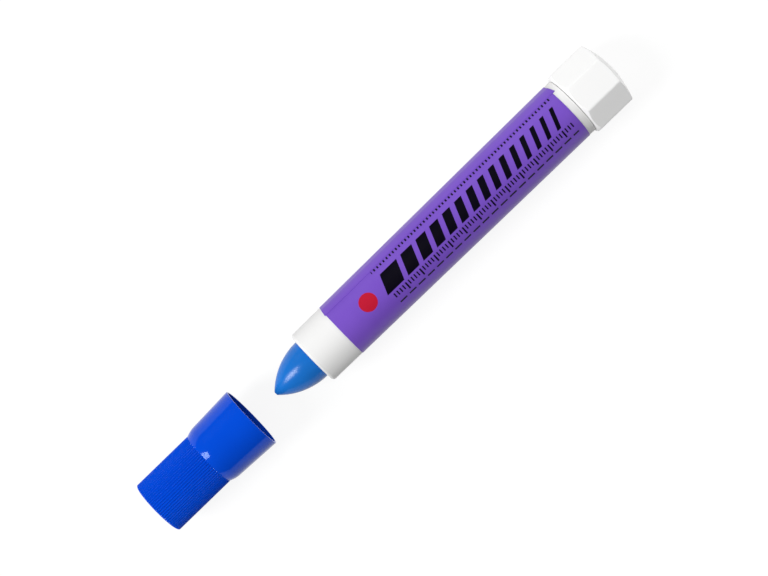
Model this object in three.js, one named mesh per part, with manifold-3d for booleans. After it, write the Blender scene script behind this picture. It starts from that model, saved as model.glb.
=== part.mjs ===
// Twist-up solid paint marker, lying on its knob, with its cap taken off and laid in line.
// Millimetres, +Z up. Every piece is drawn along +X: x = 0 is the rim of the nose bore,
// and the knob is at the far end.
import * as THREE from "three";
import { mergeVertices } from "three/addons/utils/BufferGeometryUtils.js";
import Module from "manifold-3d";

// Clearances between pieces
const PRESS_GAP = 0.3;
const SLIDING_GAP = 0.3;
const STOP_GAP = 0.3;
const LABEL_GAP = 0.05;
const SEAL_GAP = 0.15;
const THREAD_GAP = 0.25;

// Barrel
const BARREL_LENGTH = 92.8;
const BARREL_NOSE_RADIUS = 7.88;
const BARREL_REAR_RADIUS = 8.46;
const NOSE_LAND = 9.0;
const NOSE_FACE = 0.55;
const NOSE_ROUNDING = 0.85;
const BARREL_WALL = 1.0;
const KEY_COUNT = 4;
const KEY_WIDTH = 1.2;

// Printed label, let into a shallow recess
const LABEL_START = 10.35;
const BARE_BEHIND_LABEL = 2.1;
const LABEL_FILM = 0.12;

// Paint stick
const STICK_RADIUS = 5.9;
const TIP_LENGTH = 13.2;
const TIP_FLAT_RADIUS = 0.3;
const SPIGOT_LENGTH = 4.7;
const SPIGOT_RADIUS = 4.8;

// Travel of the stick, from where it stands
const ADVANCE = 38;
const RETRACT = 14;

// Carrier that holds the stick and rides on the thread
const CUP_DEPTH = 5;
const KEY_FLANGE = 3;
const NUT_LENGTH = 8;
const NUT_WALL = 1.35;

// Spindle, with a left-hand thread
const LEAD = 4;
const THREAD_RADIUS = 2.25;
const ROOT_RADIUS = 1.65;
const CREST_WIDTH = 1.0;
const FLANK_RUN = 0.45;
const THREAD_RUN_OUT = 1.0;
const JOURNAL_RADIUS = 2.6;
const COLLAR_RADIUS = 4.2;
const COLLAR_LENGTH = 1.4;
const HEX_FLATS = 5;
const HEX_LENGTH = 13;

// Bush in the rear of the barrel
const BUSH_LENGTH = 14.2;
const BUSH_WALL = 1.5;
const BUSH_SEAT_WALL = 1.15;
const BUSH_WEB = 2;
const SNAP_FROM_REAR = 6.7;
const SNAP_WIDTH = 1.0;
const SNAP_HEIGHT = 0.55;

// Seal ring on the stem of the knob
const RING_SECTION = 0.8;
const RING_FROM_REAR = 3.1;

// Knob: a regular octagon with one flat down
const KNOB_SIDES = 8;
const KNOB_FLATS = 18.8;
const KNOB_LENGTH = 13.3;
const KNOB_BASE_RADIUS = 9.0;
const KNOB_FLARE_SLOPE = 1.0;
const KNOB_DOME_RADIUS = 25;
const KNOB_END_FLAT_RADIUS = 4;
const KNOB_END_WALL = 2.2;
const KNOB_POCKET_RADIUS = 7.6;

// Cap
const CAP_GAP_TO_TIP = 8.64;
const CAP_LENGTH = 33.45;
const CAP_MOUTH_RADIUS = 9.1;
const CAP_SHOULDER_RADIUS = 8.5;
const CAP_SKIRT_LENGTH = 13.6;
const CAP_CONE_LENGTH = 1.6;
const CAP_GRIP_RADIUS = 7.6;
const CAP_SKIRT_WALL = 0.5;
const CAP_GRIP_WALL = 0.65;
const CAP_END_WALL = 1.0;
const CAP_EDGE_ROUNDING = 0.4;
const CAP_SEATED_OFF_LABEL = 0.25;
const RIB_COUNT = 72;
const RIB_HEIGHT = 0.26;
const RIB_BASE = 0.46;
const RIB_CREST = 0.2;

// Liner in the cap, which closes on the nose
const LINER_WALL = 0.5;

// How far a cut runs past the face that it opens, and how close points are one point
const OVERCUT = 1;
const SAME_POINT = 1e-4;

// Facets round each piece
const OUTER_FACETS = 64;
const INNER_FACETS = 32;
const THREAD_FACETS = 16;
const RING_FACETS = 8;
const TIP_STEPS = 12;
const DOME_STEPS = 6;
const EDGE_STEPS = 4;

// Places along the marker, worked out from the sizes above
const labelEnd = BARREL_LENGTH - BARE_BEHIND_LABEL;
const boreRadius = STICK_RADIUS + SLIDING_GAP;
const recessDepth = LABEL_FILM + LABEL_GAP;
const chamberRadius = barrelRadius(LABEL_START) - recessDepth - BARREL_WALL;
const bushEnd = BARREL_LENGTH - PRESS_GAP;
const bushStart = bushEnd - BUSH_LENGTH;
const bushSeatRadius = barrelRadius(bushStart) - recessDepth - BUSH_SEAT_WALL;
const bushRadius = bushSeatRadius - PRESS_GAP;
const bushBoreRadius = bushRadius - BUSH_WALL;
const webEnd = bushStart + BUSH_WEB;
const snapStart = BARREL_LENGTH - SNAP_FROM_REAR;
const keyFlangeStart = NOSE_LAND + STOP_GAP + ADVANCE;
const keyFlangeEnd = keyFlangeStart + KEY_FLANGE;
const cupStart = keyFlangeStart - CUP_DEPTH;
const carrierEnd = bushStart - STOP_GAP - RETRACT;
const cupRadius = boreRadius - SLIDING_GAP;
const nutRadius = THREAD_RADIUS + THREAD_GAP + NUT_WALL;
const stickBoreRadius = THREAD_RADIUS + SLIDING_GAP;
const stickEnd = cupStart - PRESS_GAP;
const spindleStart = carrierEnd - NUT_LENGTH - ADVANCE;
const stickBoreEnd = spindleStart - RETRACT - 2 * STOP_GAP;
const collarStart = webEnd + SLIDING_GAP;
const collarEnd = collarStart + COLLAR_LENGTH;
const hexEnd = collarEnd + HEX_LENGTH;
const stemStart = collarEnd + PRESS_GAP;
const stemRadius = bushBoreRadius - SLIDING_GAP;
const ringRadius = bushBoreRadius - SEAL_GAP - RING_SECTION / 2;
const ringCentre = BARREL_LENGTH - RING_FROM_REAR;
const knobStart = BARREL_LENGTH + SLIDING_GAP;
const knobEnd = knobStart + KNOB_LENGTH;
const knobApothem = KNOB_FLATS / 2;
const knobCornerRadius = knobApothem / Math.cos(Math.PI / KNOB_SIDES);
const capMouth = -tipReach(TIP_FLAT_RADIUS) - CAP_GAP_TO_TIP;
const capEnd = capMouth - CAP_LENGTH;
const capShoulder = capMouth - CAP_SKIRT_LENGTH;
const capGripStart = capShoulder - CAP_CONE_LENGTH;
const capCrestRadius = CAP_GRIP_RADIUS + RIB_HEIGHT;
const capTravel = LABEL_START - CAP_SEATED_OFF_LABEL - capMouth;
const linerMouth = -capTravel - STOP_GAP;
const linerEnd = capEnd + CAP_END_WALL + PRESS_GAP;
const linerRadius = CAP_GRIP_RADIUS - CAP_GRIP_WALL - PRESS_GAP;
const axisHeight = Math.max(knobApothem, CAP_MOUTH_RADIUS);

const wasm = await Module();
wasm.setup();

// Outside radius of the tapered barrel and its label.
function barrelRadius(x) {
  return BARREL_NOSE_RADIUS + ((BARREL_REAR_RADIUS - BARREL_NOSE_RADIUS) * x) / BARREL_LENGTH;
}

// How far in front of the nose the rounded tip has the given radius: a tangent ogive.
function tipReach(radius) {
  const sweep = (STICK_RADIUS ** 2 + TIP_LENGTH ** 2) / (2 * STICK_RADIUS);
  return Math.sqrt(sweep ** 2 - (radius + sweep - STICK_RADIUS) ** 2);
}

// A solid of revolution about X. The profile is a list of [x, radius] with the material
// on its left as x grows, and it starts and ends on the axis or is closed as a ring.
function revolve(profile, facets, closed = false) {
  const points = profile.map(([x, radius]) => new THREE.Vector2(radius, x));
  if (closed) points.push(points[0].clone());
  return new THREE.LatheGeometry(points, facets).rotateZ(-Math.PI / 2);
}

// A straight prism along X from x0 to x1 with a regular outline, one flat facing down.
function prism(sides, flats, x0, x1) {
  const corner = flats / 2 / Math.cos(Math.PI / sides);
  const shape = new THREE.CylinderGeometry(corner, corner, x1 - x0, sides, 1, false, Math.PI / sides);
  return shape.rotateZ(-Math.PI / 2).translate((x0 + x1) / 2, 0, 0);
}

// A bar along X from x0 to x1, standing out from radius r0 to r1 at the given angle.
function bar(x0, x1, r0, r1, width0, width1, angle) {
  const outline = new THREE.Shape([
    new THREE.Vector2(-width0 / 2, r0),
    new THREE.Vector2(width0 / 2, r0),
    new THREE.Vector2(width1 / 2, r1),
    new THREE.Vector2(-width1 / 2, r1),
  ]);
  const shape = new THREE.ExtrudeGeometry(outline, { depth: x1 - x0, bevelEnabled: false });
  shape.rotateX(Math.PI / 2).rotateZ(Math.PI / 2).translate(x0, 0, 0);
  return shape.rotateX(angle);
}

// A rod with a left-hand helical ridge, which runs out smoothly at both ends.
// Each row of the grid follows the helix: foot of one flank, crest, crest, foot of the other.
function threadedRod(x0, x1, rootRadius, crestRadius, grow, runOut) {
  const foot = CREST_WIDTH / 2 + FLANK_RUN + grow;
  const crest = CREST_WIDTH / 2 + grow;
  const rows = [
    [-foot, rootRadius],
    [-crest, crestRadius],
    [crest, crestRadius],
    [foot, rootRadius],
  ];
  const firstTurn = Math.floor(x0 / LEAD) - 1;
  const lastTurn = Math.ceil(x1 / LEAD) + 2;
  const grid = [];
  for (let column = 0; column <= THREAD_FACETS; column++) {
    const line = [];
    for (let turn = firstTurn; turn <= lastTurn; turn++) {
      for (const [offset, radius] of rows) {
        const x = LEAD * (turn - column / THREAD_FACETS) + offset;
        line.push(threadPoint(x, radius, x0, x1, rootRadius, runOut, column));
      }
    }
    grid.push(line);
  }
  return stitch(grid, x0, x1);
}

// A point of the thread, held between the ends of the rod and sunk to the root near them.
function threadPoint(x, radius, x0, x1, rootRadius, runOut, column) {
  const inside = THREE.MathUtils.clamp(x, x0, x1);
  const fade = runOut > 0 ? THREE.MathUtils.clamp(Math.min(inside - x0, x1 - inside) / runOut, 0, 1) : 1;
  const height = rootRadius + (radius - rootRadius) * fade;
  const angle = (2 * Math.PI * (column % THREAD_FACETS)) / THREAD_FACETS;
  return new THREE.Vector3(inside, height * Math.cos(angle), height * Math.sin(angle));
}

// Joins a grid of points, one line of points per column round the axis, into a closed rod.
function stitch(grid, x0, x1) {
  const corners = [];
  const face = (a, b, c) => {
    const shortest = Math.min(a.distanceTo(b), b.distanceTo(c), c.distanceTo(a));
    if (shortest > SAME_POINT) corners.push(a, b, c);
  };
  for (let column = 0; column < grid.length - 1; column++) {
    const here = grid[column];
    const next = grid[column + 1];
    for (let row = 0; row < here.length - 1; row++) {
      face(here[row], next[row], next[row + 1]);
      face(here[row], next[row + 1], here[row + 1]);
    }
    face(new THREE.Vector3(x0, 0, 0), next[0], here[0]);
    face(new THREE.Vector3(x1, 0, 0), here[here.length - 1], next[next.length - 1]);
  }
  return new THREE.BufferGeometry().setFromPoints(corners);
}

// A closed geometry as a solid that can be joined and cut.
function solid(geometry) {
  const bare = geometry.index ? geometry.toNonIndexed() : geometry.clone();
  bare.deleteAttribute("normal");
  bare.deleteAttribute("uv");
  const merged = mergeVertices(bare, SAME_POINT);
  const vertProperties = merged.getAttribute("position").array;
  const triVerts = new Uint32Array(merged.index.array);
  return new wasm.Manifold(new wasm.Mesh({ numProp: 3, vertProperties, triVerts }));
}

// A solid back as a geometry.
function geometryOf(body) {
  const { vertProperties, triVerts } = body.getMesh();
  const geometry = new THREE.BufferGeometry();
  geometry.setAttribute("position", new THREE.BufferAttribute(vertProperties, 3));
  geometry.setIndex(new THREE.BufferAttribute(triVerts, 1));
  geometry.computeVertexNormals();
  return geometry;
}

// Points of a quarter round from one [x, radius] to another, bulging out at the given corner.
function rounded(from, corner, to) {
  const curve = new THREE.QuadraticBezierCurve(
    new THREE.Vector2(...from),
    new THREE.Vector2(...corner),
    new THREE.Vector2(...to),
  );
  return curve.getPoints(EDGE_STEPS).map((point) => [point.x, point.y]);
}

// Barrel: one moulded tube, narrowed at the nose to guide the stick, with keys in its bore
// that stop the carrier from turning, and a wider seat for the bush at the rear.
function barrel() {
  const faceEdge = boreRadius + NOSE_FACE;
  const noseEdge = [NOSE_ROUNDING, barrelRadius(NOSE_ROUNDING)];
  const tube = revolve(
    [
      ...rounded([0, faceEdge], [0, noseEdge[1]], noseEdge),
      [LABEL_START - LABEL_GAP, barrelRadius(LABEL_START)],
      [LABEL_START - LABEL_GAP, barrelRadius(LABEL_START) - recessDepth],
      [labelEnd + LABEL_GAP, barrelRadius(labelEnd) - recessDepth],
      [labelEnd + LABEL_GAP, barrelRadius(labelEnd)],
      [BARREL_LENGTH, BARREL_REAR_RADIUS],
      [BARREL_LENGTH, bushSeatRadius],
      [bushStart - STOP_GAP, bushSeatRadius],
      [bushStart - STOP_GAP, chamberRadius],
      [NOSE_LAND, chamberRadius],
      [NOSE_LAND, boreRadius],
      [0, boreRadius],
    ],
    OUTER_FACETS,
    true,
  );
  let body = solid(tube);
  for (let key = 0; key < KEY_COUNT; key++) {
    const angle = (2 * Math.PI * key) / KEY_COUNT;
    const rootInWall = chamberRadius + BARREL_WALL / 2;
    const ends = [NOSE_LAND - BARREL_WALL / 2, bushStart - STOP_GAP];
    const rail = bar(ends[0], ends[1], boreRadius, rootInWall, KEY_WIDTH, KEY_WIDTH, angle);
    body = body.add(solid(rail));
  }
  return geometryOf(body);
}

// Label: a printed film wrapped round the barrel.
function labelSleeve() {
  const outside = [
    [LABEL_START, barrelRadius(LABEL_START)],
    [labelEnd, barrelRadius(labelEnd)],
  ];
  const inside = outside.map(([x, radius]) => [x, radius - LABEL_FILM]).reverse();
  return revolve([...outside, ...inside], OUTER_FACETS, true);
}

// Paint stick: pointed in front, bored for the spindle, with a spigot that the carrier grips.
function paintStick() {
  const tip = [];
  for (let step = 0; step <= TIP_STEPS; step++) {
    const swell = Math.sin(((step / TIP_STEPS) * Math.PI) / 2);
    const radius = THREE.MathUtils.lerp(TIP_FLAT_RADIUS, STICK_RADIUS, swell);
    tip.push([-tipReach(radius), radius]);
  }
  return revolve(
    [
      [-tipReach(TIP_FLAT_RADIUS), 0],
      ...tip,
      [stickEnd, STICK_RADIUS],
      [stickEnd, SPIGOT_RADIUS],
      [stickEnd + SPIGOT_LENGTH, SPIGOT_RADIUS],
      [stickEnd + SPIGOT_LENGTH, stickBoreRadius],
      [stickBoreEnd, stickBoreRadius],
      [stickBoreEnd, 0],
    ],
    INNER_FACETS,
  );
}

// Carrier: a cup for the stick, a flange slotted for the barrel's keys and a long nut.
function carrier() {
  const flangeRadius = chamberRadius - SLIDING_GAP;
  const cupBore = SPIGOT_RADIUS + PRESS_GAP;
  const cupFloor = stickEnd + SPIGOT_LENGTH + PRESS_GAP;
  const body = revolve(
    [
      [cupFloor, 0],
      [cupFloor, cupBore],
      [cupStart, cupBore],
      [cupStart, cupRadius],
      [keyFlangeStart, cupRadius],
      [keyFlangeStart, flangeRadius],
      [keyFlangeEnd, flangeRadius],
      [keyFlangeEnd, nutRadius],
      [carrierEnd, nutRadius],
      [carrierEnd, 0],
    ],
    INNER_FACETS,
  );
  let piece = solid(body);
  const slotFloor = cupRadius - SLIDING_GAP / 2;
  const slotWidth = KEY_WIDTH + 2 * SLIDING_GAP;
  for (let key = 0; key < KEY_COUNT; key++) {
    const angle = (2 * Math.PI * key) / KEY_COUNT;
    const ends = [keyFlangeStart - OVERCUT, keyFlangeEnd + OVERCUT];
    const slot = bar(ends[0], ends[1], slotFloor, chamberRadius, slotWidth, slotWidth, angle);
    piece = piece.subtract(solid(slot));
  }
  const nutStart = carrierEnd - NUT_LENGTH;
  const clearBore = revolve(
    [
      [cupFloor - OVERCUT, 0],
      [cupFloor - OVERCUT, stickBoreRadius],
      [nutStart, stickBoreRadius],
      [nutStart, 0],
    ],
    INNER_FACETS,
  );
  const root = ROOT_RADIUS + THREAD_GAP;
  const crest = THREAD_RADIUS + THREAD_GAP;
  const threadHole = threadedRod(nutStart - OVERCUT, carrierEnd + OVERCUT, root, crest, THREAD_GAP, 0);
  return geometryOf(piece.subtract(solid(clearBore)).subtract(solid(threadHole)));
}

// Spindle: thread, journal, thrust collar and a hexagonal shank for the knob.
function spindle() {
  const threadEnd = bushStart + BUSH_WEB / 2;
  const thread = threadedRod(spindleStart, threadEnd, ROOT_RADIUS, THREAD_RADIUS, 0, THREAD_RUN_OUT);
  const shoulder = revolve(
    [
      [bushStart, 0],
      [bushStart, JOURNAL_RADIUS],
      [collarStart, JOURNAL_RADIUS],
      [collarStart, COLLAR_RADIUS],
      [collarEnd, COLLAR_RADIUS],
      [collarEnd, 0],
    ],
    INNER_FACETS,
  );
  const shank = prism(6, HEX_FLATS, collarStart, hexEnd);
  return geometryOf(solid(thread).add(solid(shoulder)).add(solid(shank)));
}

// Bush: pressed into the barrel, it carries the spindle and holds the knob by a snap groove.
function endBush() {
  const grooveStart = snapStart - SLIDING_GAP;
  const grooveEnd = snapStart + SNAP_WIDTH + SLIDING_GAP;
  const grooveRadius = stemRadius + SNAP_HEIGHT + SLIDING_GAP;
  return revolve(
    [
      [bushStart, JOURNAL_RADIUS + SLIDING_GAP],
      [bushStart, bushRadius],
      [bushEnd, bushRadius],
      [bushEnd, bushBoreRadius],
      [grooveEnd, bushBoreRadius],
      [grooveEnd, grooveRadius],
      [grooveStart, grooveRadius],
      [grooveStart, bushBoreRadius],
      [webEnd, bushBoreRadius],
      [webEnd, JOURNAL_RADIUS + SLIDING_GAP],
    ],
    INNER_FACETS,
    true,
  );
}

// Seal ring: a round rubber section in the groove of the knob's stem.
function sealRing() {
  const ring = new THREE.TorusGeometry(ringRadius, RING_SECTION / 2, RING_FACETS, INNER_FACETS);
  return ring.rotateY(Math.PI / 2).translate(ringCentre, 0, 0);
}

// Knob: a hollow octagonal grip, round at its base and domed at its end,
// with a stem that snaps into the bush and a hexagonal socket for the spindle.
function knob() {
  const outline = knobCornerRadius + OVERCUT;
  const dome = [];
  for (let step = 0; step <= DOME_STEPS; step++) {
    const radius = THREE.MathUtils.lerp(outline, KNOB_END_FLAT_RADIUS, step / DOME_STEPS);
    const drop = (radius ** 2 - KNOB_END_FLAT_RADIUS ** 2) / (2 * KNOB_DOME_RADIUS);
    dome.push([knobEnd - drop, radius]);
  }
  const flareEnd = knobStart + (outline - KNOB_BASE_RADIUS) / KNOB_FLARE_SLOPE;
  const envelope = revolve(
    [[knobStart, 0], [knobStart, KNOB_BASE_RADIUS], [flareEnd, outline], ...dome, [knobEnd, 0]],
    OUTER_FACETS,
  );
  const octagon = prism(KNOB_SIDES, KNOB_FLATS, knobStart - OVERCUT, knobEnd + OVERCUT);
  const pocketEnd = knobEnd - KNOB_END_WALL;
  const pocket = revolve(
    [
      [knobStart - OVERCUT, stemRadius],
      [knobStart - OVERCUT, KNOB_POCKET_RADIUS],
      [pocketEnd, KNOB_POCKET_RADIUS],
      [pocketEnd, stemRadius],
    ],
    INNER_FACETS,
    true,
  );
  const socketEnd = hexEnd + PRESS_GAP;
  const socket = prism(6, HEX_FLATS + 2 * PRESS_GAP, stemStart - OVERCUT, socketEnd);
  const grip = solid(envelope).intersect(solid(octagon)).subtract(solid(pocket));
  return geometryOf(grip.add(solid(stem())).subtract(solid(socket)));
}

// Stem of the knob, with the snap bead and the groove for the seal ring.
function stem() {
  const bead = stemRadius + SNAP_HEIGHT;
  const grooveHalf = RING_SECTION / 2 + SEAL_GAP;
  const grooveFloor = ringRadius - RING_SECTION / 2 - SEAL_GAP;
  return revolve(
    [
      [stemStart, 0],
      [stemStart, stemRadius],
      [snapStart, stemRadius],
      [snapStart + SNAP_WIDTH / 2, bead],
      [snapStart + SNAP_WIDTH, bead],
      [snapStart + SNAP_WIDTH, stemRadius],
      [ringCentre - grooveHalf, stemRadius],
      [ringCentre - grooveHalf, grooveFloor],
      [ringCentre + grooveHalf, grooveFloor],
      [ringCentre + grooveHalf, stemRadius],
      [hexEnd + 2 * PRESS_GAP, stemRadius],
      [hexEnd + 2 * PRESS_GAP, 0],
    ],
    INNER_FACETS,
  );
}

// Cap: a thin flared skirt that slides over the nose, a shoulder and a finely ribbed grip.
function capShell() {
  const skirtBore = CAP_MOUTH_RADIUS - CAP_SKIRT_WALL;
  const shoulderBore = CAP_SHOULDER_RADIUS - CAP_SKIRT_WALL;
  const gripBore = CAP_GRIP_RADIUS - CAP_GRIP_WALL;
  const floor = capEnd + CAP_END_WALL;
  const edge = [capEnd + CAP_EDGE_ROUNDING, CAP_GRIP_RADIUS];
  const endFace = [capEnd, CAP_GRIP_RADIUS - CAP_EDGE_ROUNDING];
  const shell = revolve(
    [
      [capEnd, 0],
      ...rounded(endFace, [capEnd, CAP_GRIP_RADIUS], edge),
      [capGripStart - RIB_HEIGHT, CAP_GRIP_RADIUS],
      [capGripStart, capCrestRadius],
      [capShoulder, CAP_SHOULDER_RADIUS],
      [capMouth - CAP_SKIRT_WALL / 2, CAP_MOUTH_RADIUS],
      [capMouth, CAP_MOUTH_RADIUS - CAP_SKIRT_WALL / 3],
      [capMouth, skirtBore],
      [capShoulder, shoulderBore],
      [capGripStart, gripBore],
      [floor, gripBore],
      [floor, 0],
    ],
    RIB_COUNT,
  );
  let body = solid(shell);
  const footInWall = CAP_GRIP_RADIUS - CAP_GRIP_WALL / 3;
  for (let rib = 0; rib < RIB_COUNT; rib++) {
    const angle = (2 * Math.PI * (rib + 0.5)) / RIB_COUNT;
    const ribEnd = capEnd + CAP_EDGE_ROUNDING;
    const ridge = bar(ribEnd, capGripStart, footInWall, capCrestRadius, RIB_BASE, RIB_CREST, angle);
    body = body.add(solid(ridge));
  }
  return geometryOf(body);
}

// Liner: a thin cup in the cap, whose rim closes on the nose and keeps the paint moist.
function capLiner() {
  const bore = linerRadius - LINER_WALL;
  return revolve(
    [
      [linerEnd, 0],
      [linerEnd, linerRadius],
      [linerMouth, linerRadius],
      [linerMouth, bore],
      [linerEnd + LINER_WALL, bore],
      [linerEnd + LINER_WALL, 0],
    ],
    INNER_FACETS,
  );
}

// Finishes
function finish(color, roughness, metalness = 0) {
  return new THREE.MeshStandardMaterial({ color, roughness, metalness });
}

function piece(name, geometry, material) {
  const mesh = new THREE.Mesh(geometry, material);
  mesh.name = name;
  return mesh;
}

const marker = new THREE.Group();
marker.add(
  piece("barrel", barrel(), finish(0xf2f1ee, 0.45)),
  piece("label_sleeve", labelSleeve(), finish(0x7c53cb, 0.35)),
  piece("end_bush", endBush(), finish(0xe4e3dc, 0.5)),
  piece("knob", knob(), finish(0xf4f4f2, 0.4)),
  piece("seal_ring", sealRing(), finish(0x1c1c1e, 0.7)),
  piece("spindle", spindle(), finish(0xe9e7dd, 0.5)),
  piece("carrier", carrier(), finish(0xeceae2, 0.5)),
  piece("paint_stick", paintStick(), finish(0x2a76d2, 0.3)),
  piece("cap_shell", capShell(), finish(0x064fda, 0.3)),
  piece("cap_liner", capLiner(), finish(0xdfe4ee, 0.4)),
);
marker.position.set(-(capEnd + knobEnd) / 2, 0, axisHeight);

const part = new THREE.Group();
part.add(marker);
export default part;
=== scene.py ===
# A twist-up solid paint marker lies on a white table with its cap taken off and laid in line.
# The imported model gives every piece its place; this script gives each one its fine mesh and finish.
import math

import bmesh
import bpy
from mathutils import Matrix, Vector, noise as smooth_noise


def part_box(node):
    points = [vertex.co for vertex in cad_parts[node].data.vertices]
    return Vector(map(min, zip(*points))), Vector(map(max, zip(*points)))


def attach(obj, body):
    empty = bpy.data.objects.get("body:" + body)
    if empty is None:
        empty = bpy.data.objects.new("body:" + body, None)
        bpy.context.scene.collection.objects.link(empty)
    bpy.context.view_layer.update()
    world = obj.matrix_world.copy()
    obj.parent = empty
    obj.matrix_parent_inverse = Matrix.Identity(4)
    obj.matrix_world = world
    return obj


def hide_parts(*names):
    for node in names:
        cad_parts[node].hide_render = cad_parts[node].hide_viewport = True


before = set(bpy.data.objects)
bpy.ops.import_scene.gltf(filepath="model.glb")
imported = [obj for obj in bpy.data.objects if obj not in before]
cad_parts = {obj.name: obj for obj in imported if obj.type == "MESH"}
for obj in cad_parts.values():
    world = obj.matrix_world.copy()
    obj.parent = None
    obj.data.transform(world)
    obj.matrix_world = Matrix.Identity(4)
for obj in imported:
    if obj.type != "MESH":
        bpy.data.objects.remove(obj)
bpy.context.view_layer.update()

# Camera: it looks straight down from above the middle of the marker, and is turned so that the
# marker runs from the lower left of the picture to the upper right.
PICTURE_WIDTH_PX = 768
FOCAL_LENGTH_PX = 2400
NEAREST_SEEN = 0.01
FARTHEST_SEEN = 20
MARKER_SLANT = math.radians(44.15)
CAMERA_ABOVE_AXIS = 0.614
LOOK_AT_X = 0.00006
LOOK_AT_Y = 0.0001

barrel_low, barrel_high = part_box("barrel")
axis_height = (barrel_low.z + barrel_high.z) / 2

camera = bpy.data.objects.new("camera", bpy.data.cameras.new("camera"))
camera.data.lens = FOCAL_LENGTH_PX / PICTURE_WIDTH_PX * camera.data.sensor_width
camera.data.clip_start = NEAREST_SEEN
camera.data.clip_end = FARTHEST_SEEN
camera.location = (LOOK_AT_X, LOOK_AT_Y, axis_height + CAMERA_ABOVE_AXIS)
camera.rotation_euler = (0, 0, -MARKER_SLANT)
bpy.context.scene.collection.objects.link(camera)
bpy.context.scene.camera = camera

# Barrel: one injection-moulded tube of white plastic, a little wider at the rear than at the
# nose. A thick guide in the nose carries the stick, and four rails in the bore key the carrier.
# From here on, places along the marker and distances from its axis are in mm from the nose.
MM = 0.001
WELD = 1e-7
NEAR = 0.01
ROUND_SEGMENTS = 5
CREASE = math.radians(30)
TURNS_OUTSIDE = 192
TURNS_INSIDE = 96
FIT = 0.3

NOSE_RADIUS = 7.88
NOSE_LAND = 9.0
NOSE_BORE = 6.2
NOSE_ROUNDING = 0.85
RIM_ROUNDING = 0.12
RAIL_COUNT = 4
RAIL_WIDTH = 1.2

BARREL_DARK = (0.84, 0.838, 0.832)
BARREL_LIGHT = (0.878, 0.876, 0.87)
BARREL_ROUGHNESS = (0.38, 0.52)
MOULD_RELIEF = 0.006
WHITE_SPECULAR = 0.35

nose = barrel_low.x
barrel_length = (barrel_high.x - barrel_low.x) / MM
barrel_rear_radius = (barrel_high.z - barrel_low.z) / 2 / MM


def at(x, radius, turn=0.0):
    """The point x mm along from the nose and radius mm off the axis, turned from the top."""
    y = -radius * MM * math.sin(turn)
    z = axis_height + radius * MM * math.cos(turn)
    return Vector((nose + x * MM, y, z))


def polar(point):
    """How far a point is along from the nose and off the axis, in mm, and its turn from the top."""
    y, z = -point.y, point.z - axis_height
    return (point.x - nose) / MM, math.hypot(y, z) / MM, math.atan2(y, z)


def span(node):
    """Where a CAD node starts and ends along the marker, in mm from the nose."""
    low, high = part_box(node)
    return (low.x - nose) / MM, (high.x - nose) / MM


def radius_of(node):
    """Half the height of a CAD node that is round the marker's axis, in mm."""
    low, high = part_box(node)
    return (high.z - low.z) / 2 / MM


def barrel_radius(x):
    return NOSE_RADIUS + (barrel_rear_radius - NOSE_RADIUS) * x / barrel_length


def outline(shape, corners, closed=False):
    """Draws (x, radius, rounding) corners as a line above the axis and rounds those that say so."""
    points = [shape.verts.new(at(x, radius)) for x, radius, *_ in corners]
    for here, there in zip(points, points[1:]):
        shape.edges.new((here, there))
    if closed:
        shape.edges.new((points[-1], points[0]))
    for point, (_, _, *rounding) in zip(points, corners):
        if rounding:
            bmesh.ops.bevel(
                shape, geom=[point], offset=rounding[0] * MM, offset_type="OFFSET",
                segments=ROUND_SEGMENTS, profile=0.5, affect="VERTICES", material=-1,
            )


def spun(shape, angle, steps, **options):
    """Turns what a mesh holds round the marker's axis."""
    bmesh.ops.spin(
        shape, geom=shape.verts[:] + shape.edges[:] + shape.faces[:], cent=at(0, 0),
        axis=(1, 0, 0), dvec=(0, 0, 0), angle=angle, steps=steps, **options,
    )


def welded(shape):
    """Joins the seams of a mesh and turns its faces outwards."""
    bmesh.ops.remove_doubles(shape, verts=shape.verts, dist=WELD)
    bmesh.ops.recalc_face_normals(shape, faces=shape.faces)
    return shape


def turned(corners, steps, closed=False):
    """A mesh turned from an outline."""
    shape = bmesh.new()
    outline(shape, corners, closed)
    spun(shape, math.tau, steps, use_merge=True)
    return welded(shape)


def finished(name, shape, material, body, node):
    """Makes an object of a mesh, hangs it on the body that it rides on, and hides the CAD node that
    it takes the place of. Its normals are weighted by area, so that a rounded edge does not bend the
    shading of long faces."""
    mesh = bpy.data.meshes.new(name)
    shape.to_mesh(mesh)
    shape.free()
    mesh.materials.append(material)
    mesh.shade_smooth()
    mesh.set_sharp_from_angle(angle=CREASE)
    piece = bpy.data.objects.new(name, mesh)
    bpy.context.scene.collection.objects.link(piece)
    piece.modifiers.new("weighted_normals", "WEIGHTED_NORMAL").keep_sharp = True
    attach(piece, body)
    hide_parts(node)
    return piece


def placed(tree, kind, **settings):
    """A new node in a tree. Settings with a capital are its inputs, a link or a value."""
    node = tree.nodes.new(kind)
    for label, value in settings.items():
        if not label[0].isupper():
            setattr(node, label, value)
        elif isinstance(value, bpy.types.NodeSocket):
            tree.links.new(value, node.inputs[label.replace("_", " ")])
        else:
            node.inputs[label.replace("_", " ")].default_value = value
    return node


def worked(tree, operation, *terms):
    """The result of a Math node, given links or values."""
    node = tree.nodes.new("ShaderNodeMath")
    node.operation = operation
    for socket, value in zip(node.inputs, terms):
        if isinstance(value, bpy.types.NodeSocket):
            tree.links.new(value, socket)
        else:
            socket.default_value = value
    return node.outputs[0]


def mixed(tree, factor, first, second):
    """The result of a Mix node, given links or colours. Its inputs 6 and 7 are the colours."""
    node = placed(tree, "ShaderNodeMix", data_type="RGBA")
    tree.links.new(factor, node.inputs["Factor"])
    for socket, value in zip(node.inputs[6:8], (first, second)):
        if isinstance(value, bpy.types.NodeSocket):
            tree.links.new(value, socket)
        else:
            socket.default_value = (*value, 1)
    return node.outputs[2]


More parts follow.
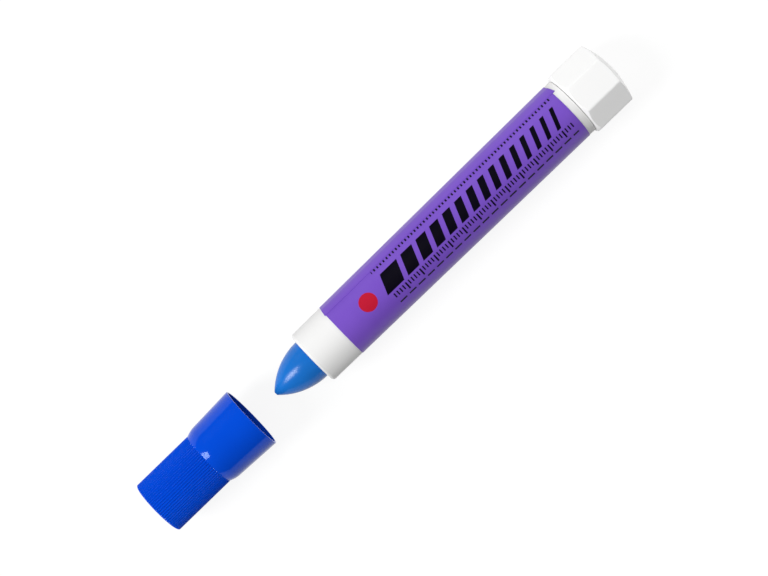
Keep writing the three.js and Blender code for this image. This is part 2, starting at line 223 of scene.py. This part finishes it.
def noise(tree, per_metre, detail, roughness=0.5, stretch=(1, 1, 1)):
    """Noise from 0 to 1 on the piece's own coordinates."""
    coordinates = placed(tree, "ShaderNodeTexCoord").outputs["Object"]
    mapping = placed(tree, "ShaderNodeMapping", Vector=coordinates, Scale=stretch)
    texture = placed(
        tree, "ShaderNodeTexNoise", Vector=mapping.outputs[0], Scale=per_metre, Detail=detail,
        Roughness=roughness,
    )
    return texture.outputs["Fac"]


# Every moulding and film shares one group: soft clouds in the colour, a fine grain from the
# tool, and hairlines along the marker from handling.
GRAIN_PER_M = 3600
GRAIN_OCTAVES = 2
GRAIN_IN_TONE = 0.3
GRAIN_IN_GLOSS = 0.6
CLOUD_PER_M = 70
CLOUD_OCTAVES = 4
CLOUD_BREAKUP = 0.55
HAIRLINE_PER_M = 260
HAIRLINE_OCTAVES = 3
HAIRLINE_STRETCH = (0.12, 6, 6)
HAIRLINE_BREAKUP = 0.6
HAIRLINE_CONTRAST = 9
HAIRLINE_RARITY = 6.1
HAIRLINE_DEPTH = 0.4

surface = bpy.data.node_groups.new("moulded_surface", "ShaderNodeTree")
for label in ("Grain", "Wear"):
    socket = surface.interface.new_socket(label, in_out="INPUT", socket_type="NodeSocketFloat")
    socket.default_value = 1
for label in ("Tone", "Gloss", "Relief"):
    surface.interface.new_socket(label, in_out="OUTPUT", socket_type="NodeSocketFloat")
given = placed(surface, "NodeGroupInput").outputs
result = placed(surface, "NodeGroupOutput").inputs
cloud = noise(surface, CLOUD_PER_M, CLOUD_OCTAVES, CLOUD_BREAKUP)
grain = noise(surface, GRAIN_PER_M, GRAIN_OCTAVES)
grain = worked(surface, "SUBTRACT", grain, 0.5)
grain = worked(surface, "MULTIPLY", grain, given["Grain"])
hairline = noise(
    surface, HAIRLINE_PER_M, HAIRLINE_OCTAVES, HAIRLINE_BREAKUP, HAIRLINE_STRETCH,
)
hairline = worked(surface, "MULTIPLY_ADD", hairline, HAIRLINE_CONTRAST, -HAIRLINE_RARITY)
hairline = worked(surface, "MAXIMUM", hairline, 0)
hairline = worked(surface, "MULTIPLY", hairline, given["Wear"])
tone = worked(surface, "MULTIPLY_ADD", grain, GRAIN_IN_TONE, cloud)
gloss = worked(surface, "ADD", cloud, hairline)
gloss = worked(surface, "MULTIPLY_ADD", grain, GRAIN_IN_GLOSS, gloss)
relief = worked(surface, "MULTIPLY_ADD", hairline, -HAIRLINE_DEPTH, grain)
surface.links.new(tone, result["Tone"])
surface.links.new(gloss, result["Gloss"])
surface.links.new(relief, result["Relief"])


def plastic(name, dark, light, roughness, relief, grain=1.0, wear=1.0, **sockets):
    """A material with two near tones, a range of roughness and a relief in mm."""
    material = bpy.data.materials.new(name)
    material.use_nodes = True
    tree = material.node_tree
    shader = tree.nodes["Principled BSDF"].inputs
    for label, value in sockets.items():
        shader[label.replace("_", " ")].default_value = value
    skin = placed(tree, "ShaderNodeGroup", node_tree=surface, Grain=grain, Wear=wear).outputs
    tree.links.new(mixed(tree, skin["Tone"], dark, light), shader["Base Color"])
    smoothest, roughest = roughness
    rough = placed(
        tree, "ShaderNodeMapRange", Value=skin["Gloss"], To_Min=smoothest, To_Max=roughest,
    )
    tree.links.new(rough.outputs[0], shader["Roughness"])
    bump = placed(tree, "ShaderNodeBump", Height=skin["Relief"], Distance=relief * MM)
    tree.links.new(bump.outputs[0], shader["Normal"])
    return material


chamber_radius = radius_of("carrier") + FIT
seat_radius = radius_of("end_bush") + FIT
seat_start = span("end_bush")[0] - FIT
rail_start, rail_end = NOSE_LAND + FIT, seat_start - FIT

tube = turned(
    [
        (0, NOSE_BORE, RIM_ROUNDING),
        (0, barrel_radius(0), NOSE_ROUNDING),
        (barrel_length, barrel_rear_radius, RIM_ROUNDING),
        (barrel_length, seat_radius, RIM_ROUNDING),
        (seat_start, seat_radius),
        (seat_start, chamber_radius),
        (rail_end, chamber_radius),
        (rail_start, chamber_radius),
        (NOSE_LAND, chamber_radius),
        (NOSE_LAND, NOSE_BORE),
    ],
    TURNS_OUTSIDE,
    closed=True,
)
for rail in range(RAIL_COUNT):
    rail_turn = math.tau * rail / RAIL_COUNT
    wall = []
    for face in tube.faces:
        x, radius, turn = polar(face.calc_center_median())
        offset = chamber_radius * math.sin(turn - rail_turn)
        same_side = math.cos(turn - rail_turn) > 0
        on_wall = rail_start < x < rail_end and abs(radius - chamber_radius) < FIT / 2
        if on_wall and same_side and abs(offset) < RAIL_WIDTH / 2:
            wall.append(face)
    risen = bmesh.ops.extrude_face_region(tube, geom=wall)["geom"]
    inwards = at(0, 0) - at(0, chamber_radius - NOSE_BORE, rail_turn)
    bmesh.ops.delete(tube, geom=wall, context="FACES_ONLY")
    moved = [item for item in risen if isinstance(item, bmesh.types.BMVert)]
    bmesh.ops.translate(tube, vec=inwards, verts=moved)

barrel_white = plastic(
    "barrel_white", BARREL_DARK, BARREL_LIGHT, BARREL_ROUGHNESS, MOULD_RELIEF,
    Specular_IOR_Level=WHITE_SPECULAR,
)
finished("barrel_tube", tube, barrel_white, "barrel", "barrel")

# End bush: a collar of natural plastic pressed into the rear of the barrel. The spindle runs in
# its web, and the knob's stem snaps into the groove in its bore.
BUSH_WALL = 1.5
BUSH_WEB = 2.0
JOURNAL_RADIUS = 2.6
SNAP_FROM_REAR = 6.7
SNAP_WIDTH = 1.0
SNAP_HEIGHT = 0.55

NATURAL_DARK = (0.76, 0.74, 0.68)
NATURAL_LIGHT = (0.84, 0.82, 0.76)
NATURAL_ROUGHNESS = (0.4, 0.55)

inner_natural = plastic(
    "inner_natural", NATURAL_DARK, NATURAL_LIGHT, NATURAL_ROUGHNESS, MOULD_RELIEF,
)
bush_start, bush_end = span("end_bush")
bush_radius = radius_of("end_bush")
bush_bore = bush_radius - BUSH_WALL
stem_radius = bush_bore - FIT
groove_start = barrel_length - SNAP_FROM_REAR - FIT
groove_end = barrel_length - SNAP_FROM_REAR + SNAP_WIDTH + FIT
groove_radius = stem_radius + SNAP_HEIGHT + FIT
collar = turned(
    [
        (bush_start, JOURNAL_RADIUS + FIT, RIM_ROUNDING),
        (bush_start, bush_radius, FIT),
        (bush_end, bush_radius, RIM_ROUNDING),
        (bush_end, bush_bore, FIT),
        (groove_end, bush_bore),
        (groove_end, groove_radius),
        (groove_start, groove_radius),
        (groove_start, bush_bore),
        (bush_start + BUSH_WEB, bush_bore, FIT),
        (bush_start + BUSH_WEB, JOURNAL_RADIUS + FIT, RIM_ROUNDING),
    ],
    TURNS_INSIDE,
    closed=True,
)
finished("rear_bush", collar, inner_natural, "barrel", "end_bush")

# Spindle and carrier: the screw that the knob turns, and the nut that rides on it and grips the
# stick. Both are moulded in natural plastic, and they keep the shape that the model gives them.
for node in ("spindle", "carrier"):
    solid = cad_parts[node]
    solid.data.materials.clear()
    solid.data.materials.append(inner_natural)

# Seal ring: a black rubber ring in the groove of the knob's stem. It drags a little in the bush,
# so that the knob does not turn by itself.
RING_SECTION = 0.8
RING_STEPS = 20

RUBBER_DARK = (0.012, 0.012, 0.013)
RUBBER_LIGHT = (0.03, 0.03, 0.032)
RUBBER_ROUGHNESS = (0.6, 0.8)
RUBBER_RELIEF = 0.01

ring_start, ring_end = span("seal_ring")
ring_centre = (ring_start + ring_end) / 2
ring_radius = radius_of("seal_ring") - RING_SECTION / 2
ring = bmesh.new()
section = []
for step in range(RING_STEPS):
    angle = math.tau * step / RING_STEPS
    x = ring_centre + RING_SECTION / 2 * math.cos(angle)
    section.append((x, ring_radius + RING_SECTION / 2 * math.sin(angle)))
outline(ring, section, closed=True)
spun(ring, math.tau, TURNS_INSIDE, use_merge=True)
seal_black = plastic(
    "seal_black", RUBBER_DARK, RUBBER_LIGHT, RUBBER_ROUGHNESS, RUBBER_RELIEF,
)
finished("stem_ring", welded(ring), seal_black, "knob", "seal_ring")

# Knob: a hollow eight-sided grip of white plastic, round at its base and domed at its end. Its
# stem snaps into the bush, and its socket grips the end of the spindle.
KNOB_SIDES = 8
KNOB_GAP = 0.12
KNOB_BASE_RADIUS = 9.0
KNOB_FLARE_SLOPE = 1.3
KNOB_DOME_RADIUS = 25
KNOB_END_FLAT = 4
KNOB_END_WALL = 2.2
KNOB_POCKET = 7.6
KNOB_EDGE = 0.2
KNOB_COLUMNS = 256
KNOB_ROWS_ON_FLARE = 22
KNOB_ROWS_ON_DOME = 22
HEX_SIDES = 6
HEX_FLATS = 5
DOME_PAST_POCKET = 0.5

KNOB_DARK = (0.91, 0.91, 0.906)
KNOB_LIGHT = (0.95, 0.95, 0.946)
KNOB_ROUGHNESS = (0.36, 0.5)

knob_start, knob_end = span("knob")
knob_base = barrel_length + KNOB_GAP
apothem = radius_of("knob")
corner_radius = apothem / math.cos(math.pi / KNOB_SIDES)
spindle_end = span("spindle")[1]


def softer_lower(first, second, edge):
    """The lower of two values, with the corner between them rounded."""
    blend = max(edge - abs(first - second), 0) / edge
    return min(first, second) - blend * blend * edge / 4


def polygon_radius(sides, flats_apart, turn, edge=0.0):
    """How far a regular polygon, one flat down, reaches at a turn from the top."""
    share = math.tau / sides
    off = abs((turn + share / 2) % share - share / 2)
    near = flats_apart / 2 / math.cos(off)
    return softer_lower(near, flats_apart / 2 / math.cos(share - off), edge) if edge else near


def grip_radius(x, turn):
    flare = KNOB_BASE_RADIUS + KNOB_FLARE_SLOPE * (x - knob_base)
    drop = max(knob_end - x, 0)
    dome = math.sqrt(KNOB_END_FLAT**2 + 2 * KNOB_DOME_RADIUS * drop)
    flats = polygon_radius(KNOB_SIDES, 2 * apothem, turn, KNOB_EDGE)
    return softer_lower(softer_lower(flare, flats, KNOB_EDGE), dome, KNOB_EDGE)


flare_length = (corner_radius - KNOB_BASE_RADIUS) / KNOB_FLARE_SLOPE + KNOB_EDGE
dome_from = corner_radius + KNOB_EDGE
outside = [(knob_base, KNOB_BASE_RADIUS)]
for row in range(1, KNOB_ROWS_ON_FLARE + 1):
    outside.append((knob_base + flare_length * row / KNOB_ROWS_ON_FLARE, apothem))
for row in range(KNOB_ROWS_ON_DOME + 1):
    radius = dome_from - (dome_from - KNOB_END_FLAT) * row / KNOB_ROWS_ON_DOME
    drop = (radius**2 - KNOB_END_FLAT**2) / (2 * KNOB_DOME_RADIUS)
    outside.append((knob_end - drop, max(radius, KNOB_END_FLAT)))
snap_start = barrel_length - SNAP_FROM_REAR
ring_groove = RING_SECTION / 2 + FIT / 2
pocket_end = knob_end - KNOB_END_WALL
socket_end = spindle_end + FIT
hex_flats = HEX_FLATS + 2 * FIT
hex_corner = hex_flats / 2 / math.cos(math.pi / HEX_SIDES)
grip = turned(
    [
        (socket_end, 0),
        (socket_end, hex_corner),
        (knob_start, hex_corner),
        (knob_start, stem_radius, RIM_ROUNDING),
        (snap_start, stem_radius),
        (snap_start + SNAP_WIDTH / 2, stem_radius + SNAP_HEIGHT, RIM_ROUNDING),
        (snap_start + SNAP_WIDTH, stem_radius + SNAP_HEIGHT, RIM_ROUNDING),
        (snap_start + SNAP_WIDTH, stem_radius),
        (ring_centre - ring_groove, stem_radius),
        (ring_centre - ring_groove, ring_radius - ring_groove),
        (ring_centre + ring_groove, ring_radius - ring_groove),
        (ring_centre + ring_groove, stem_radius),
        (pocket_end, stem_radius, FIT),
        (pocket_end, KNOB_POCKET, FIT),
        (knob_base, KNOB_POCKET, RIM_ROUNDING),
        *outside,
        (knob_end, 0),
    ],
    KNOB_COLUMNS,
)
for vert in grip.verts:
    x, radius, turn = polar(vert.co)
    if abs(radius - hex_corner) < NEAR:
        vert.co = at(x, polygon_radius(HEX_SIDES, hex_flats, turn), turn)
    elif x > pocket_end + DOME_PAST_POCKET and radius > NEAR:
        vert.co = at(x, min(radius, grip_radius(x, turn)), turn)
    elif radius > KNOB_POCKET + RIM_ROUNDING + NEAR:
        vert.co = at(x, grip_radius(x, turn), turn)
bmesh.ops.recalc_face_normals(grip, faces=grip.faces)

knob_white = plastic(
    "knob_white", KNOB_DARK, KNOB_LIGHT, KNOB_ROUGHNESS, MOULD_RELIEF,
    Specular_IOR_Level=WHITE_SPECULAR,
)
finished("twist_knob", grip, knob_white, "knob", "knob")

# Paint stick: blue paint cast as a solid stick and moulded to a point. It is a little waxy, and
# its skin is not quite even.
TIP_LENGTH = 13.2
TIP_BLUNT = 0.5
TIP_ROUNDING = 0.3
TIP_ROWS = 28
TIP_ROW_CROWDING = 1.5
SPIGOT_LENGTH = 4.7
SPIGOT_RADIUS = 4.8
STICK_BORE = 2.55
STICK_BORE_START = 2.0
SKIN_WAVES_PER_M = 260
SKIN_WAVE_HEIGHT = 0.035

PAINT_DARK = (0.006, 0.14, 0.53)
PAINT_LIGHT = (0.012, 0.183, 0.64)
PAINT_ROUGHNESS = (0.18, 0.28)
PAINT_RELIEF = 0.012
PAINT_WEAR = 0.4
PAINT_SPECULAR = 0.28

tip_start, stick_end = span("paint_stick")
stick_radius = radius_of("paint_stick")
bore_start = tip_start + TIP_LENGTH + STICK_BORE_START
sweep = (stick_radius**2 + TIP_LENGTH**2) / (2 * stick_radius)
tip_base = tip_start + math.sqrt(sweep**2 - (TIP_BLUNT + sweep - stick_radius) ** 2)
point = [(tip_start, 0), (tip_start, TIP_BLUNT, TIP_ROUNDING)]
for row in range(1, TIP_ROWS + 1):
    x = tip_start + (tip_base - tip_start) * (row / TIP_ROWS) ** TIP_ROW_CROWDING
    point.append((x, math.sqrt(sweep**2 - (tip_base - x) ** 2) - sweep + stick_radius))
stick = turned(
    [
        *point,
        (stick_end - SPIGOT_LENGTH, stick_radius, FIT),
        (stick_end - SPIGOT_LENGTH, SPIGOT_RADIUS),
        (stick_end, SPIGOT_RADIUS, FIT),
        (stick_end, STICK_BORE),
        (bore_start, STICK_BORE),
        (bore_start, 0),
    ],
    TURNS_OUTSIDE,
)
for vert in stick.verts:
    x, radius, turn = polar(vert.co)
    if x < 0:
        wave = smooth_noise.noise(vert.co * SKIN_WAVES_PER_M) * SKIN_WAVE_HEIGHT
        vert.co = at(x, radius * (1 + wave / stick_radius), turn)

paint_blue = plastic(
    "paint_blue", PAINT_DARK, PAINT_LIGHT, PAINT_ROUGHNESS, PAINT_RELIEF, wear=PAINT_WEAR,
    Specular_IOR_Level=PAINT_SPECULAR,
)
finished("solid_paint", stick, paint_blue, "stick", "paint_stick")

# Label: a printed purple film, wrapped once round the barrel and stuck down on itself. The flap
# ends on the far side of the top, where its corners stand out a little past the rest.
FILM = 0.08
FILM_GLUE = 0.01
FILM_ROWS = 48
FILM_COLUMNS = 240
LAP_END = math.radians(-42)
LAP = math.radians(20)
LAP_RAMP = math.radians(7)
CORNER_RUN = math.radians(27)
REAR_CORNER = 0.8
FRONT_CORNER = 0.28
UV_SIDE = 100

label_start, label_end = span("label_sleeve")
label_length = label_end - label_start
label_radius = barrel_radius((label_start + label_end) / 2)
film_start = LAP_END - LAP
film_turn = math.tau + LAP

film = bmesh.new()
bmesh.ops.create_grid(film, x_segments=FILM_ROWS, y_segments=FILM_COLUMNS, size=0.5)
film_uv = film.loops.layers.uv.new("film")
for face in film.faces:
    for loop in face.loops:
        along, round_share = loop.vert.co.x + 0.5, loop.vert.co.y + 0.5
        around = round_share * film_turn * label_radius
        loop[film_uv].uv = (along * label_length / UV_SIDE, around / UV_SIDE)
for vert in film.verts:
    along, round_share = vert.co.x + 0.5, vert.co.y + 0.5
    turn = film_start + round_share * film_turn
    to_end = film_start + film_turn - turn
    rise = min(max((LAP + LAP_RAMP - to_end) / LAP_RAMP, 0), 1)
    lift = (FILM + FILM_GLUE) * rise * rise * (3 - 2 * rise)
    corner = max(1 - to_end / CORNER_RUN, 0)
    x = label_start + along * label_length
    x += corner * (REAR_CORNER * along - FRONT_CORNER * (1 - along))
    vert.co = at(x, barrel_radius(x) + FILM_GLUE + FILM + lift, turn)
bmesh.ops.recalc_face_normals(film, faces=film.faces)
first_face = film.faces[:][0]
if first_face.normal.dot(first_face.calc_center_median() - at(0, 0)) < 0:
    bmesh.ops.reverse_faces(film, faces=film.faces)
bmesh.ops.solidify(film, geom=film.faces[:], thickness=FILM * MM)

FILM_DARK = (0.168, 0.07, 0.508)
FILM_LIGHT = (0.204, 0.09, 0.58)
FILM_ROUGHNESS = (0.3, 0.42)
FILM_RELIEF = 0.004
FILM_SPECULAR = 0.3
INK_BLACK = (0.0015, 0.0005, 0.006)
INK_RED = (0.52, 0.006, 0.03)

label_purple = plastic(
    "label_purple", FILM_DARK, FILM_LIGHT, FILM_ROUGHNESS, FILM_RELIEF,
    Specular_IOR_Level=FILM_SPECULAR,
)
tree = label_purple.node_tree
shader = tree.nodes["Principled BSDF"].inputs
film_place = placed(tree, "ShaderNodeUVMap", uv_map="film").outputs[0]
film_place = placed(tree, "ShaderNodeSeparateXYZ", Vector=film_place).outputs
along = worked(tree, "MULTIPLY", film_place["X"], UV_SIDE)
around = worked(tree, "MULTIPLY_ADD", film_place["Y"], UV_SIDE, film_start * label_radius)

# The print is plain: a row of slanted black bars that get thinner towards the knob, a fine
# scale of ticks and a dashed rule beside it, a dotted rule on the other side and a red dot.
PRINT_START = 15.6
PRINT_END = 78.6
BARS_CENTRE = -0.7
BARS_HALF_HEIGHT = 2.7
BARS_SLANT = 0.4
BAR_COUNT = 15
BAR_CROWDING = 1.25
BAR_FILL_FIRST = 0.8
BAR_FILL_FALL = 0.45
DOT_ALONG = 10.0
DOT_AROUND = -0.3
DOT_RADIUS = 2.5
# Each rule: its pitch along the label, the inked share of it, and where it starts and ends round
# the barrel from the top.
RULES = (
    (1, 0.38, 2.7, 4.1),
    (5, 0.09, 2.7, 4.9),
    (3.2, 0.72, 5.7, 6.2),
    (1.1, 0.42, -5.9, -5.1),
)


def inside(value, low, high):
    """1 where a value lies between two others, and 0 elsewhere."""
    return worked(tree, "COMPARE", value, (low + high) / 2, (high - low) / 2)


def dashes(pitch, share):
    """1 on the first share of each pitch along the label."""
    step = worked(tree, "FRACT", worked(tree, "DIVIDE", along, pitch))
    return worked(tree, "LESS_THAN", step, share)


def both_of(first, second):
    return worked(tree, "MULTIPLY", first, second)


slanted = worked(tree, "MULTIPLY_ADD", around, BARS_SLANT, along)
past_start = worked(tree, "SUBTRACT", slanted, PRINT_START)
bar_share = worked(tree, "DIVIDE", past_start, PRINT_END - PRINT_START)
crowded = worked(tree, "MAXIMUM", bar_share, 0)
crowded = worked(tree, "POWER", crowded, BAR_CROWDING)
bar_number = worked(tree, "MULTIPLY", crowded, BAR_COUNT)
bar_fill = worked(tree, "MULTIPLY_ADD", bar_share, -BAR_FILL_FALL, BAR_FILL_FIRST)
bars = worked(tree, "LESS_THAN", worked(tree, "FRACT", bar_number), bar_fill)
bars = both_of(bars, inside(bar_share, 0, 1))
bars_low, bars_high = BARS_CENTRE - BARS_HALF_HEIGHT, BARS_CENTRE + BARS_HALF_HEIGHT
bars = both_of(bars, inside(around, bars_low, bars_high))
ink = bars
on_print = inside(along, PRINT_START, PRINT_END)
for pitch, share, low, high in RULES:
    rule = both_of(dashes(pitch, share), inside(around, low, high))
    ink = worked(tree, "MAXIMUM", ink, both_of(rule, on_print))
here = placed(tree, "ShaderNodeCombineXYZ", X=along, Y=around).outputs[0]
centre = placed(tree, "ShaderNodeVectorMath", operation="DISTANCE")
tree.links.new(here, centre.inputs[0])
centre.inputs[1].default_value = (DOT_ALONG, DOT_AROUND, 0)
dot = worked(tree, "LESS_THAN", centre.outputs["Value"], DOT_RADIUS)
paper = shader["Base Color"].links[0].from_socket
inked = mixed(tree, ink, paper, INK_BLACK)
tree.links.new(mixed(tree, dot, inked, INK_RED), shader["Base Color"])
finished("label_film", film, label_purple, "barrel", "label_sleeve")

# Cap liner: a thin cup of cloudy plastic in the grip of the cap. Its rim closes on the nose and
# keeps the paint from drying.
LINER_WALL = 0.5

LINER_DARK = (0.66, 0.72, 0.82)
LINER_LIGHT = (0.76, 0.8, 0.88)
LINER_ROUGHNESS = (0.35, 0.5)

liner_end, liner_mouth = span("cap_liner")
liner_radius = radius_of("cap_liner")
cup = turned(
    [
        (liner_end, 0),
        (liner_end, liner_radius, FIT),
        (liner_mouth, liner_radius, LINER_WALL / 3),
        (liner_mouth, liner_radius - LINER_WALL, LINER_WALL / 3),
        (liner_end + LINER_WALL, liner_radius - LINER_WALL, FIT),
        (liner_end + LINER_WALL, 0),
    ],
    TURNS_INSIDE,
)
liner_clear = plastic("liner_clear", LINER_DARK, LINER_LIGHT, LINER_ROUGHNESS, MOULD_RELIEF)
finished("liner_cup", cup, liner_clear, "cap", "cap_liner")

# Cap: thin blue plastic, moulded with a high polish. A smooth skirt slides over the nose, and
# the narrower grip behind the shoulder is ribbed all round so that it can be pulled off.
CAP_SKIRT_LENGTH = 13.6
CAP_CONE_LENGTH = 1.6
CAP_SHOULDER_RADIUS = 8.5
CAP_SHOULDER_ROUNDING = 1.05
CAP_GRIP_RADIUS = 7.6
CAP_BORE = 6.95
CAP_SKIRT_WALL = 0.5
CAP_END_WALL = 1.0
CAP_EDGE = 0.4
CAP_RIM_OUTSIDE = 0.16
CAP_RIM_INSIDE = 0.12
CAP_ROOT_ROUNDING = 0.05
RIB_COUNT = 72
RIB_HEIGHT = 0.26
RIB_STEPS = 12

CAP_DARK = (0.0008, 0.06, 0.6)
CAP_LIGHT = (0.0012, 0.077, 0.69)
CAP_SHEEN = (0.7, 0.9, 1)
CAP_SPECULAR = 0.26
CAP_ROUGHNESS = (0.08, 0.13)
CAP_RELIEF = 0.002
CAP_GRAIN = 0.15
CAP_WEAR = 0.5

cap_end, cap_mouth = span("cap_shell")
mouth_radius = radius_of("cap_shell")
shoulder = cap_mouth - CAP_SKIRT_LENGTH
grip_start = shoulder - CAP_CONE_LENGTH
rib_pitch = math.tau / RIB_COUNT


def rib_height(x, turn):
    """How far a rib stands out at a turn from the top. It rounds down to the closed end."""
    wave = (1 + math.cos(RIB_COUNT * turn)) / 2
    end = min(max((x - cap_end) / CAP_EDGE, 0), 1)
    return RIB_HEIGHT * wave * math.sqrt(end)


skin = bmesh.new()
outline(
    skin,
    [
        (cap_end, 0),
        (cap_end, CAP_GRIP_RADIUS, CAP_EDGE),
        (grip_start - RIB_HEIGHT, CAP_GRIP_RADIUS, CAP_ROOT_ROUNDING),
        (grip_start, CAP_GRIP_RADIUS + RIB_HEIGHT),
        (shoulder, CAP_SHOULDER_RADIUS, CAP_SHOULDER_ROUNDING),
        (cap_mouth, mouth_radius, CAP_RIM_OUTSIDE),
        (cap_mouth, mouth_radius - CAP_SKIRT_WALL, CAP_RIM_INSIDE),
        (shoulder, CAP_SHOULDER_RADIUS - CAP_SKIRT_WALL, CAP_SHOULDER_ROUNDING),
        (grip_start, CAP_BORE, FIT),
        (cap_end + CAP_END_WALL, CAP_BORE, FIT),
        (cap_end + CAP_END_WALL, 0),
    ],
)
spun(skin, rib_pitch, RIB_STEPS, use_merge=False)
for vert in skin.verts:
    x, radius, turn = polar(vert.co)
    edge_share = (radius - (CAP_GRIP_RADIUS - CAP_EDGE)) / CAP_EDGE
    if edge_share > 0 and x < grip_start:
        raised = min(radius, CAP_GRIP_RADIUS) + rib_height(x, turn) * min(edge_share, 1)
        vert.co = at(x, max(radius, raised), turn)
spun(skin, math.tau - rib_pitch, RIB_COUNT - 1, use_duplicate=True)
cap_blue = plastic(
    "cap_blue", CAP_DARK, CAP_LIGHT, CAP_ROUGHNESS, CAP_RELIEF, grain=CAP_GRAIN,
    wear=CAP_WEAR, Specular_IOR_Level=CAP_SPECULAR, Specular_Tint=(*CAP_SHEEN, 1),
)
cap = finished("cap_moulding", welded(skin), cap_blue, "cap", "cap_shell").data
# The foot of the cone is a crisp edge, so that the ribs do not show in the cone's shading.
for edge in cap.edges:
    off_foot = [abs(polar(cap.vertices[end].co)[0] - grip_start) for end in edge.vertices]
    if max(off_foot) < NEAR:
        edge.use_edge_sharp = True

# Table and light: a white table under a pale sky, a softbox up and to the left of the picture, a
# broad panel low on the far side, and a card beyond the knob. The near side is left in shade.
TABLE_SIZE = 6.0
TABLE_GREY = 0.16
TABLE_GLOW = 0.88
SKY_FILL = 0.28
SKY_TOP = 0.02
SKY_WHITE_BELOW = 0.02
SKY_DIM_ABOVE = 0.12
LAMP_DISTANCE = 6
# Each lamp: the way to it from the marker, how many degrees it spans across and high, its
# watts, and whether glossy surfaces show it.
LAMPS = {
    "key_softbox": ((-1.05, 0.36, 1), 20, 28, 300, True),
    "side_panel": ((0, 0.87, 0.5), 48, 28, 95, False),
    "end_card": ((1, -0.1, 0.25), 40, 20, 190, False),
}

table_mesh = bmesh.new()
bmesh.ops.create_grid(table_mesh, x_segments=1, y_segments=1, size=TABLE_SIZE / 2)
table_data = bpy.data.meshes.new("table")
table_mesh.to_mesh(table_data)
table_mesh.free()
table = bpy.data.objects.new("table", table_data)
bpy.context.scene.collection.objects.link(table)


def seen_by_eye(tree):
    """1 on rays from the camera and on those that a mirror or glass sends on, and 0 on others."""
    path = placed(tree, "ShaderNodeLightPath").outputs
    sent_on = worked(tree, "MAXIMUM", path["Is Glossy Ray"], path["Is Transmission Ray"])
    return worked(tree, "MAXIMUM", path["Is Camera Ray"], sent_on)


table_white = bpy.data.materials.new("table_white")
table_white.use_nodes = True
tree = table_white.node_tree
tree.nodes.clear()
matt = placed(tree, "ShaderNodeBsdfDiffuse", Color=(TABLE_GREY, TABLE_GREY, TABLE_GREY, 1))
glow_strength = worked(tree, "MULTIPLY", seen_by_eye(tree), TABLE_GLOW)
glow = placed(tree, "ShaderNodeEmission", Strength=glow_strength)
both = placed(tree, "ShaderNodeAddShader")
tree.links.new(matt.outputs[0], both.inputs[0])
tree.links.new(glow.outputs[0], both.inputs[1])
placed(tree, "ShaderNodeOutputMaterial", Surface=both.outputs[0])
table_data.materials.append(table_white)

studio = bpy.data.worlds.new("studio")
studio.use_nodes = True
bpy.context.scene.world = studio
tree = studio.node_tree
direction = placed(tree, "ShaderNodeTexCoord").outputs["Generated"]
upwards = placed(tree, "ShaderNodeSeparateXYZ", Vector=direction).outputs["Z"]
sky = placed(
    tree, "ShaderNodeMapRange", interpolation_type="SMOOTHSTEP", Value=upwards,
    From_Min=SKY_WHITE_BELOW, From_Max=SKY_DIM_ABOVE, To_Min=1, To_Max=SKY_TOP,
)
strength = placed(
    tree, "ShaderNodeMix", data_type="FLOAT", Factor=seen_by_eye(tree), A=SKY_FILL,
    B=sky.outputs[0],
)
background = tree.nodes["Background"].inputs
tree.links.new(strength.outputs[0], background["Strength"])
background["Color"].default_value = (1, 1, 1, 1)


def lamp_side(degrees):
    """How wide a lamp is that spans so many degrees, seen from the marker."""
    return 2 * LAMP_DISTANCE * math.tan(math.radians(degrees) / 2)


for name, (way, across, high, watts, shows_in_gloss) in LAMPS.items():
    lamp = bpy.data.lights.new(name, "AREA")
    lamp.shape = "RECTANGLE"
    lamp.size = lamp_side(across)
    lamp.size_y = lamp_side(high)
    lamp.energy = watts
    box = bpy.data.objects.new(name, lamp)
    away = Vector(way).normalized()
    box.location = Vector((0, 0, axis_height)) + away * LAMP_DISTANCE
    box.rotation_euler = away.to_track_quat("Z", "Y").to_euler()
    box.visible_camera = False
    box.visible_glossy = shows_in_gloss
    bpy.context.scene.collection.objects.link(box)

bpy.context.scene.view_settings.view_transform = "Standard"
